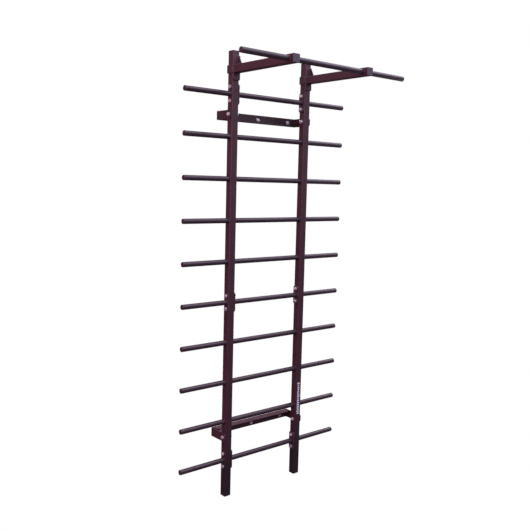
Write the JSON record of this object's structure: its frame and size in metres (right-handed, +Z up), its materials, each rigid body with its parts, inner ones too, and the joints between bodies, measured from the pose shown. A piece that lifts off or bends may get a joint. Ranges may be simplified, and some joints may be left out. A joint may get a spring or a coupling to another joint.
{
  "type": "wall-mounted climbing ladder",
  "caption": "Steel wall ladder with round rungs through two square uprights, bent wall brackets and a pull-up bar held on two arms.",
  "frame": {"origin": "on the floor, under the middle of the bounding box", "axes": "+Z up along the uprights, +Y towards the wall, X along the rungs with -X at the left upright"},
  "size_m": [1.09, 0.585, 2.35],
  "materials": {
    "black_steel": "satin black powder coat with a fine grain",
    "black_plastic": "moulded, fine matte grain",
    "zinc_steel": "bright zinc plating"
  },
  "bodies": {
    "root": {"upright_left": "black_steel", "upright_right": "black_steel", "top_cap_left": "black_plastic", "foot_left": "black_plastic", "top_cap_right": "black_plastic", "foot_right": "black_plastic", "rung_01": "black_steel", "rung_02": "black_steel", "rung_03": "black_steel", "rung_04": "black_steel", "rung_05": "black_steel", "rung_06": "black_steel", "rung_07": "black_steel", "rung_08": "black_steel", "rung_09": "black_steel", "rung_10": "black_steel", "rung_plate_left_lower": "black_steel", "plate_bolt_left_lower_a": "zinc_steel", "plate_bolt_left_lower_b": "zinc_steel", "rung_plate_left_middle": "black_steel", "plate_bolt_left_middle_a": "zinc_steel", "plate_bolt_left_middle_b": "zinc_steel", "rung_plate_left_upper": "black_steel", "plate_bolt_left_upper_a": "zinc_steel", "plate_bolt_left_upper_b": "zinc_steel", "rung_plate_right_lower": "black_steel", "plate_bolt_right_lower_a": "zinc_steel", "plate_bolt_right_lower_b": "zinc_steel", "rung_plate_right_middle": "black_steel", "plate_bolt_right_middle_a": "zinc_steel", "plate_bolt_right_middle_b": "zinc_steel", "rung_plate_right_upper": "black_steel", "plate_bolt_right_upper_a": "zinc_steel", "plate_bolt_right_upper_b": "zinc_steel", "pull_up_bar": "black_steel", "arm_left": "black_steel", "arm_cap_left": "black_plastic", "arm_plate_left": "black_steel", "gusset_left": "black_steel", "arm_collar_left": "black_steel", "collar_screw_left": "zinc_steel", "arm_right": "black_steel", "arm_cap_right": "black_plastic", "arm_plate_right": "black_steel", "gusset_right": "black_steel", "arm_collar_right": "black_steel", "collar_screw_right": "zinc_steel", "wall_bracket_lower": "black_steel", "bracket_bolt_left_lower": "zinc_steel", "bracket_bolt_right_lower": "zinc_steel", "wall_bolt_left_lower": "zinc_steel", "wall_bolt_centre_lower": "zinc_steel", "wall_bolt_right_lower": "zinc_steel", "wall_bracket_upper": "black_steel", "bracket_bolt_left_upper": "zinc_steel", "bracket_bolt_right_upper": "zinc_steel", "wall_bolt_left_upper": "zinc_steel", "wall_bolt_centre_upper": "zinc_steel", "wall_bolt_right_upper": "zinc_steel"}
  },
  "joints": []
}
